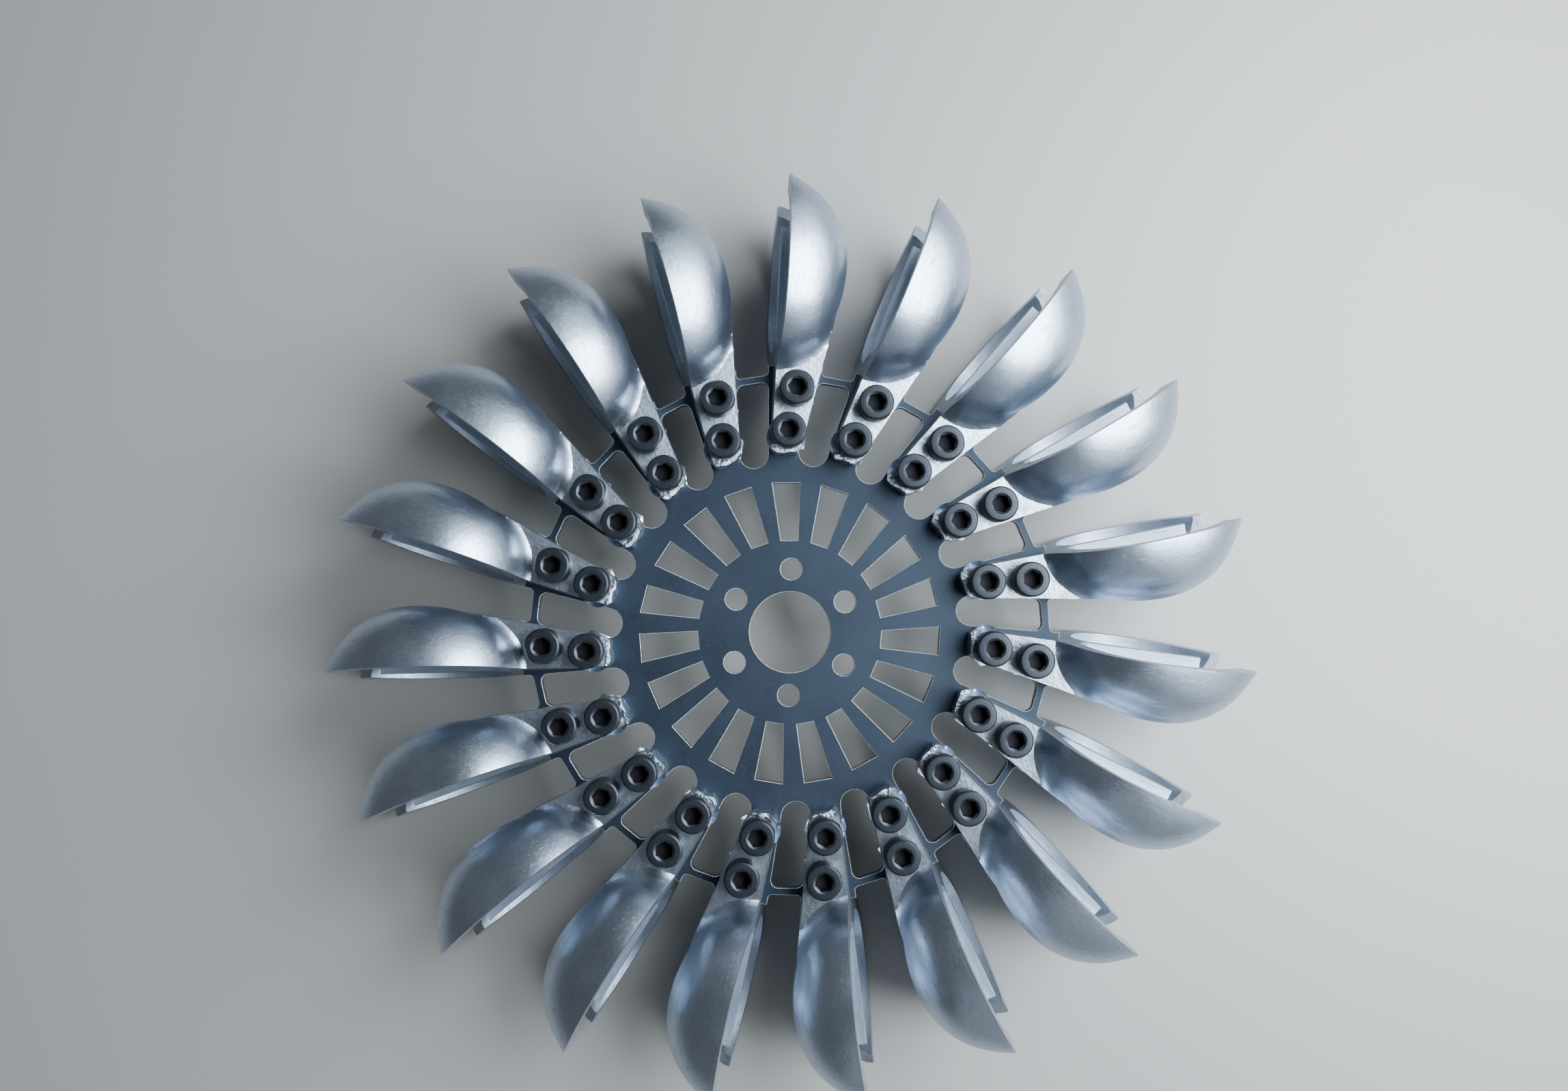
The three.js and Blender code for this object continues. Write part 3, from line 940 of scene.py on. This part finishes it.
class Nodes:
    """A material's node tree, with short ways to add and join nodes; noise scales are per metre."""

    def __init__(self, name, colour, metallic, roughness):
        self.material = bpy.data.materials.new(name)
        self.material.use_nodes = True
        self.tree = self.material.node_tree
        self.shader = self.tree.nodes["Principled BSDF"]
        self.shader.inputs["Metallic"].default_value = metallic
        self.shader.inputs["Roughness"].default_value = roughness
        self.shader.inputs["Base Color"].default_value = (*colour, 1)

    def add(self, kind, **values):
        """A node whose values are either its own properties or its sockets."""
        node = self.tree.nodes.new(kind)
        for name, value in values.items():
            if hasattr(node, name):
                setattr(node, name, value)
            else:
                self.set(node.inputs[name.replace("_", " ")], value)
        return node

    def set(self, socket, value):
        if isinstance(value, bpy.types.NodeSocket):
            self.tree.links.new(value, socket)
        else:
            socket.default_value = value

    def position(self, scale=(1, 1, 1), attribute=None):
        """Scaled places on the object, or those that an attribute holds."""
        if attribute:
            source = self.add("ShaderNodeAttribute", attribute_name=attribute).outputs["Vector"]
        else:
            source = self.add("ShaderNodeTexCoord").outputs["Object"]
        return self.add("ShaderNodeMapping", Vector=source, Scale=scale).outputs[0]

    def casting_place(self, axis):
        """How far along a casting's rim (0), across it (1) or back from it (2) a place lies."""
        place = self.position(attribute=CASTING_PLACE)
        return self.add("ShaderNodeSeparateXYZ", Vector=place).outputs[axis]

    def noise(self, scale, detail, roughness, vector=None):
        node = self.add("ShaderNodeTexNoise", Scale=scale, Detail=detail, Roughness=roughness,
                        Vector=vector or self.position())
        return node.outputs["Fac"]

    def grain_along(self, scale, detail, roughness):
        """Noise drawn out along the casting, by a scale for each of its axes."""
        return self.noise(1, detail, roughness, self.position(scale, CASTING_PLACE))

    def pits(self, scale, low, high):
        """1 in small round pits and 0 between them."""
        node = self.add("ShaderNodeTexVoronoi", Scale=scale, Vector=self.position())
        return self.spread(node.outputs["Distance"], low, high, 1, 0)

    def spread(self, value, low, high, to_low=0.0, to_high=1.0):
        """A value's range from low to high, spread over another range."""
        node = self.add("ShaderNodeMapRange", clamp=True)
        for name, number in (("Value", value), ("From Min", low), ("From Max", high),
                             ("To Min", to_low), ("To Max", to_high)):
            self.set(node.inputs[name], number)
        return node.outputs["Result"]

    def maths(self, operation, first, second):
        node = self.add("ShaderNodeMath", operation=operation)
        self.set(node.inputs[0], first)
        self.set(node.inputs[1], second)
        return node.outputs[0]

    def mix(self, share, first, second):
        """From the first colour to the second by a share."""
        node = self.add("ShaderNodeMix", data_type="RGBA")
        self.set(node.inputs["Factor"], share)
        for place, colour in ((MIX_FIRST, first), (MIX_SECOND, second)):
            self.set(node.inputs[place], colour if isinstance(colour, bpy.types.NodeSocket) else (*colour, 1))
        return node.outputs[MIX_RESULT]

    def tinted(self, colour, share, strength, tint):
        """A colour drawn towards a tint where a share is high."""
        return self.mix(self.maths("MULTIPLY", share, strength), colour, tint)

    def bumps(self, *layers):
        """Bumps one on the other, each a height and how far it stands out in millimetres."""
        normal = None
        for height, distance in layers:
            node = self.add("ShaderNodeBump", Height=height, Distance=distance * MM)
            if normal is not None:
                self.set(node.inputs["Normal"], normal)
            normal = node.outputs["Normal"]
        return normal

    def use(self, colour=None, roughness=None, normal=None):
        """The material, with what is given joined to its shader."""
        for name, value in (("Base Color", colour), ("Roughness", roughness), ("Normal", normal)):
            if value is not None:
                self.set(self.shader.inputs[name], value)
        return self.material


def rough_end(nodes):
    """1 at the rough hub end of a casting and 0 over the rest of it."""
    along = nodes.casting_place(0)
    wander = nodes.noise(600, 2, 0.5)
    place = nodes.maths("ADD", along, nodes.maths("MULTIPLY", wander, ROUGH_SKIN_WANDER * MM))
    return nodes.spread(place, ROUGH_SKIN[0] * MM, ROUGH_SKIN[1] * MM, 1, 0)


def cast_aluminium(name, smoothest):
    """Cast skin: dented and pitted, with faint streaks and scuffs along the bucket."""
    dull, bright = (0.39, 0.455, 0.545), (0.52, 0.585, 0.685)
    pitted, scuffed = (0.16, 0.18, 0.22), (0.17, 0.21, 0.27)
    nodes = Nodes(name, (0.5, 0.54, 0.6), 1, smoothest)
    cloud = nodes.noise(45, 3, 0.5)
    grain = nodes.noise(1700, 3, 0.7)
    streaks = nodes.grain_along((260, 1900, 1900), 3, 0.6)
    dents = nodes.noise(300, 3, 0.6)
    scuffs = nodes.spread(nodes.grain_along((75, 950, 950), 4, 0.65), 0.58, 0.68)
    pits = nodes.pits(520, 0.05, 0.16)
    colour = nodes.mix(nodes.spread(grain, 0.3, 0.7), dull, bright)
    colour = nodes.tinted(colour, pits, 0.45, pitted)
    colour = nodes.tinted(colour, scuffs, 0.5, scuffed)
    worn = nodes.maths("ADD", cloud, nodes.maths("MULTIPLY", streaks, 0.5))
    worn = nodes.maths("ADD", worn, nodes.maths("MULTIPLY", scuffs, 0.4))
    roughness = nodes.spread(worn, 0.5, 1.1, smoothest, smoothest + 0.15)
    fine = nodes.maths("SUBTRACT", grain, pits)
    normal = nodes.bumps((cloud, 0.05), (dents, 0.09), (scuffs, 0.02), (streaks, 0.006), (fine, 0.008))
    return nodes.use(colour, roughness, normal)


def ground_aluminium(name, dull, bright, lean, smoothest):
    """A hand-ground face, patchy and scratched, torn at the hub end, and shaded as if it leaned a little."""
    stained, pitted = (0.15, 0.19, 0.25), (0.12, 0.14, 0.17)
    nodes = Nodes(name, bright, 1, smoothest)
    grain = nodes.noise(1300, 4, 0.7)
    scratches = nodes.grain_along((110, 2800, 2800), 3, 0.6)
    broken = nodes.noise(800, 3, 0.75)
    patches = nodes.noise(230, 4, 0.65)
    dimples = nodes.noise(650, 3, 0.6)
    pits = nodes.pits(560, 0.04, 0.14)
    colour = nodes.mix(nodes.spread(grain, 0.35, 0.7), dull, bright)
    colour = nodes.mix(nodes.spread(patches, 0.48, 0.68, 0, 0.6), colour, stained)
    colour = nodes.tinted(colour, pits, 0.5, pitted)
    roughness = nodes.spread(nodes.maths("ADD", scratches, patches), 0.7, 1.35, smoothest, smoothest + 0.16)
    slope = nodes.maths("DIVIDE", nodes.casting_place(2), -MM)
    fine = nodes.maths("SUBTRACT", grain, pits)
    torn = nodes.maths("MULTIPLY", broken, rough_end(nodes))
    normal = nodes.bumps((slope, lean), (dimples, 0.12), (scratches, 0.007), (fine, 0.02), (torn, 0.6))
    return nodes.use(colour, roughness, normal)


def burr_and_highlight_aluminium():
    """The broken edges of a casting, pale partly as bright burr and partly as a painted highlight."""
    nodes = Nodes("burr_and_highlight_edge_aluminium", (0.9, 0.9, 0.9), 0.75, 0.35)
    broken = nodes.noise(700, 2, 0.6)
    # Painted highlight: the near-white colour stands partly for the glint along the edges and partly for
    # bright burr.
    colour = nodes.mix(nodes.spread(broken, 0.35, 0.6), (0.5, 0.52, 0.56), (0.92, 0.93, 0.95))
    return nodes.use(colour, None, nodes.bumps((broken, 0.06)))


def blued_steel():
    """The dark mill finish on the flats of the disc."""
    dark, light, speck = (0.011, 0.019, 0.033), (0.018, 0.029, 0.046), (0.038, 0.052, 0.073)
    nodes = Nodes("blued_mill_steel", (0.03, 0.045, 0.065), 0.6, 0.5)
    cloud = nodes.noise(28, 5, 0.6)
    fine = nodes.noise(900, 4, 0.65)
    colour = nodes.mix(nodes.spread(cloud, 0.3, 0.7), dark, light)
    colour = nodes.mix(nodes.spread(fine, 0.55, 0.75, 0, 0.4), colour, speck)
    roughness = nodes.spread(nodes.maths("ADD", cloud, fine), 0.7, 1.3, 0.45, 0.56)
    return nodes.use(colour, roughness, nodes.bumps((fine, 0.012)))


def cut_steel(name, dull, bright):
    """What the laser left, streaked upright through the plate."""
    nodes = Nodes(name, bright, 0.4, 0.4)
    streaks = nodes.noise(1, 2, 0.6, nodes.position((1500, 1500, 60)))
    colour = nodes.mix(nodes.spread(streaks, 0.35, 0.65), dull, bright)
    return nodes.use(colour, None, nodes.bumps((streaks, 0.05)))


def socket_floor():
    """The inside of a screw's socket, its near-black floor a painted shade where light hardly reaches."""
    nodes = Nodes("socket_steel_painted_shade", (0.02, 0.02, 0.022), 0.9, 0.6)
    fine = nodes.noise(900, 3, 0.6)
    # Painted shade: the socket's floor is coloured near black for the shade deep in the recess.
    colour = nodes.mix(nodes.spread(fine, 0.35, 0.7), (0.007, 0.007, 0.009), (0.016, 0.016, 0.019))
    return nodes.use(colour, nodes.spread(fine, 0.3, 0.7, 0.55, 0.65), nodes.bumps((fine, 0.02)))


def black_oxide():
    """The screws' dull black, with paler worn clouds."""
    dark, light, worn = (0.02, 0.024, 0.031), (0.032, 0.037, 0.046), (0.045, 0.048, 0.054)
    nodes = Nodes("black_oxide_steel", (0.06, 0.065, 0.075), 0.7, 0.42)
    fine = nodes.noise(1500, 3, 0.6)
    cloud = nodes.noise(160, 2, 0.5)
    colour = nodes.mix(nodes.spread(fine, 0.35, 0.7), dark, light)
    colour = nodes.mix(nodes.spread(cloud, 0.5, 0.75, 0, 0.3), colour, worn)
    return nodes.use(colour, nodes.spread(fine, 0.3, 0.7, 0.33, 0.42), nodes.bumps((fine, 0.006)))


def zinc():
    """The nuts' bright plating."""
    nodes = Nodes("zinc_plated_steel", (0.78, 0.8, 0.82), 1, 0.22)
    fine = nodes.noise(700, 3, 0.6)
    colour = nodes.mix(nodes.spread(fine, 0.3, 0.7), (0.66, 0.69, 0.72), (0.84, 0.85, 0.86))
    return nodes.use(colour, nodes.spread(fine, 0.3, 0.7, 0.17, 0.3), nodes.bumps((fine, 0.01)))


def pale_floor():
    nodes = Nodes("pale_floor", (0.7, 0.7, 0.69), 0, 0.5)
    cloud = nodes.noise(4, 3, 0.5)
    colour = nodes.mix(cloud, (0.29, 0.282, 0.272), (0.31, 0.302, 0.292))
    return nodes.use(colour)


# Studio

def add_camera():
    """A camera where the photograph was taken from; its place turns with its roll."""
    data = bpy.data.cameras.new("camera")
    data.sensor_width = SENSOR_WIDTH
    data.lens = FOCAL_PIXELS * SENSOR_WIDTH / PHOTO_SIZE[0]
    data.clip_start = CLIP_START
    camera = new_object("camera", data)
    camera.location = Matrix.Rotation(CAMERA_ROLL, 3, "Z") @ Vector(CAMERA_PLACE) * MM
    camera.rotation_euler = Euler((CAMERA_TILT, CAMERA_LEAN, CAMERA_ROLL))
    bpy.context.scene.camera = camera


def add_area_light(name, direction, distance, width, height, brightness):
    """A soft light panel that faces the middle of the wheel."""
    light = bpy.data.lights.new(name, "AREA")
    light.shape = "RECTANGLE"
    light.size = width
    light.size_y = height
    light.energy = brightness * math.pi * width * height
    light.color = DAYLIGHT
    thing = new_object(name, light)
    direction = Vector(direction).normalized()
    thing.location = direction * distance
    thing.rotation_euler = direction.to_track_quat("Z", "Y").to_euler()
    thing.visible_camera = False


def add_lights():
    """A near window, and two wide weak panels that fill in from low down on two sides."""
    add_area_light("window", (0.655, 0.19, 0.731), distance=0.62, width=0.66, height=0.5, brightness=18)
    add_area_light("side_fill", (0.9, 0.1, 0.42), distance=2.6, width=8, height=5, brightness=0.9)
    add_area_light("low_fill", (0.28, -0.862, 0.423), distance=2.4, width=4, height=2.5, brightness=0.26)


def add_room():
    """An even dim room around it all."""
    world = bpy.data.worlds.new("room")
    world.use_nodes = True
    background = world.node_tree.nodes["Background"]
    background.inputs["Color"].default_value = ROOM_COLOUR
    background.inputs["Strength"].default_value = ROOM_STRENGTH
    bpy.context.scene.world = world


def add_floor():
    """A round floor at the foot of the solids' box."""
    edge = whole_circle(0, FLOOR_RADIUS, FLOOR_POINTS)
    floor = bpy.data.meshes.new("floor")
    floor.from_pydata([(point.real, point.imag, cad_box[0].z) for point in edge], [], [range(len(edge))])
    give(floor, [pale_floor()])
    new_object("floor", floor)


add_camera()
add_lights()
add_room()
add_floor()
add_buckets([
    cast_aluminium("cast_aluminium_skin", smoothest=0.28),
    cast_aluminium("cast_aluminium_hollow", smoothest=0.4),
    ground_aluminium("ground_aluminium_stem", dull=(0.395, 0.455, 0.535), bright=(0.505, 0.565, 0.65),
                     lean=0.075, smoothest=0.27),
    # The rim's copy is darker than the stem's: painted shade for the dark surroundings that the rim and notch
    # faces reflect.
    ground_aluminium("ground_aluminium_rim_painted_shade", dull=(0.36, 0.4, 0.45), bright=(0.46, 0.5, 0.56),
                     lean=0, smoothest=0.34),
    burr_and_highlight_aluminium(),
])
add_disc([
    blued_steel(),
    # The bevels' pale colour is partly bright burr and partly a painted highlight along the cut edges.
    cut_steel("laser_cut_steel_edge_burr_and_highlight", dull=(0.3, 0.31, 0.33), bright=(0.78, 0.78, 0.77)),
    cut_steel("laser_cut_steel_face", dull=(0.035, 0.04, 0.048), bright=(0.1, 0.105, 0.115)),
])
add_fasteners(black_oxide(), socket_floor(), zinc())

bpy.context.view_layer.update()
